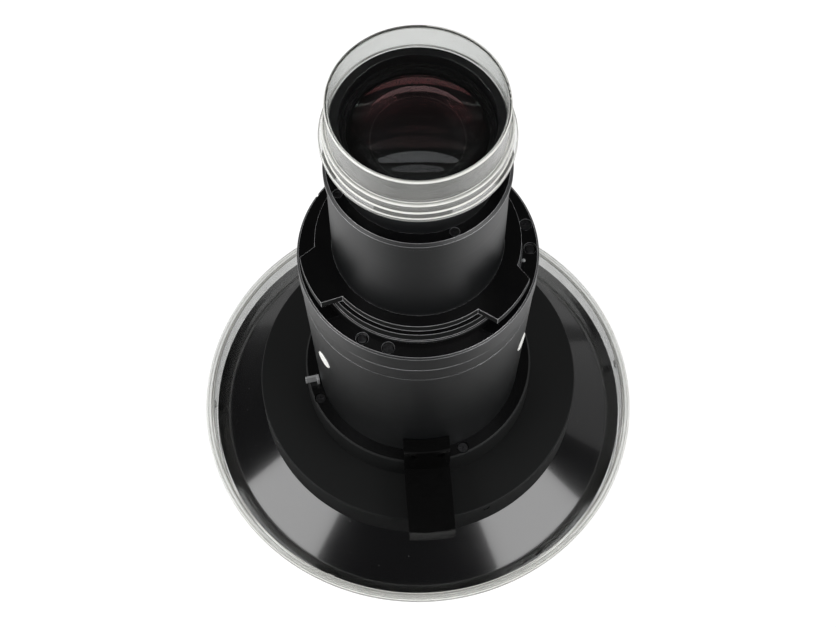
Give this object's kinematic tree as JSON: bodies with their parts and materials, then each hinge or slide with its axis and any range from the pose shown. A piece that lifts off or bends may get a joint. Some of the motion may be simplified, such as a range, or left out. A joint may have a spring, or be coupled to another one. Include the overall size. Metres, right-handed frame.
{
  "type": "projector lens",
  "caption": "Short-throw projection lens standing on its clear front cap: flared hood, tapered barrel, bayonet ring and a capped rear cell.",
  "frame": {"origin": "middle of the front cap's floor, on the optical axis", "axes": "+Z along the optical axis from the front of the lens to its rear, -Y towards the lock bracket, +X to its right"},
  "size_m": [0.22, 0.22, 0.2878],
  "materials": {
    "clear_plastic": "clear vacuum-formed sheet, glossy",
    "hood_black": "glossy black lacquer",
    "matt_black": "matt black anodised",
    "satin_black": "satin black anodised, fine turned",
    "bayonet_black": "glossy black anodised",
    "inner_black": "matt black inside the barrel",
    "bracket_black": "semi-gloss black paint",
    "black_steel": "blackened screw steel",
    "bare_aluminium": "bare milled",
    "white_plastic": "smooth white",
    "seal_rubber": "matt",
    "lens_glass": "coated optical glass"
  },
  "bodies": {
    "front_cap_body": {"front_cap": "clear_plastic"},
    "lens": {"hood": "hood_black", "front_housing": "matt_black", "rim_screws": "black_steel", "front_glass": "lens_glass", "front_seal": "seal_rubber", "front_lock_ring": "inner_black", "lens_tube": "inner_black", "inner_meniscus": "lens_glass", "tube_spacer_front": "inner_black", "relay_glass_front": "lens_glass", "tube_spacer_middle": "inner_black", "aperture_stop": "inner_black", "tube_spacer_rear": "inner_black", "relay_glass_rear": "lens_glass", "tube_lock_ring": "inner_black", "base_collar": "satin_black", "collar_screws": "black_steel", "lock_bracket": "bracket_black", "bracket_screws": "black_steel", "stop_plate": "bare_aluminium", "main_barrel": "satin_black", "side_plugs": "white_plastic", "mount_flange": "satin_black", "flange_screws": "black_steel", "flange_dowels": "black_steel", "index_pin": "bare_aluminium", "bayonet_ring": "bayonet_black", "rear_barrel": "satin_black", "rear_retainer": "satin_black", "retainer_screws": "black_steel", "rear_cell": "satin_black", "field_glass": "lens_glass", "cell_spacer": "inner_black", "rear_doublet": "lens_glass", "rear_spacer": "inner_black", "rear_glass": "lens_glass", "rear_lock_ring": "inner_black"},
    "rear_cap_body": {"rear_cap": "clear_plastic"}
  },
  "joints": [
    {"name": "lens_lift", "type": "slide", "parent": "front_cap_body", "child": "lens", "axis": [0, 0, 1], "range_m": [0, 0.03]},
    {"name": "rear_cap_lift", "type": "slide", "parent": "lens", "child": "rear_cap_body", "axis": [0, 0, 1], "range_m": [0, 0.03]}
  ]
}
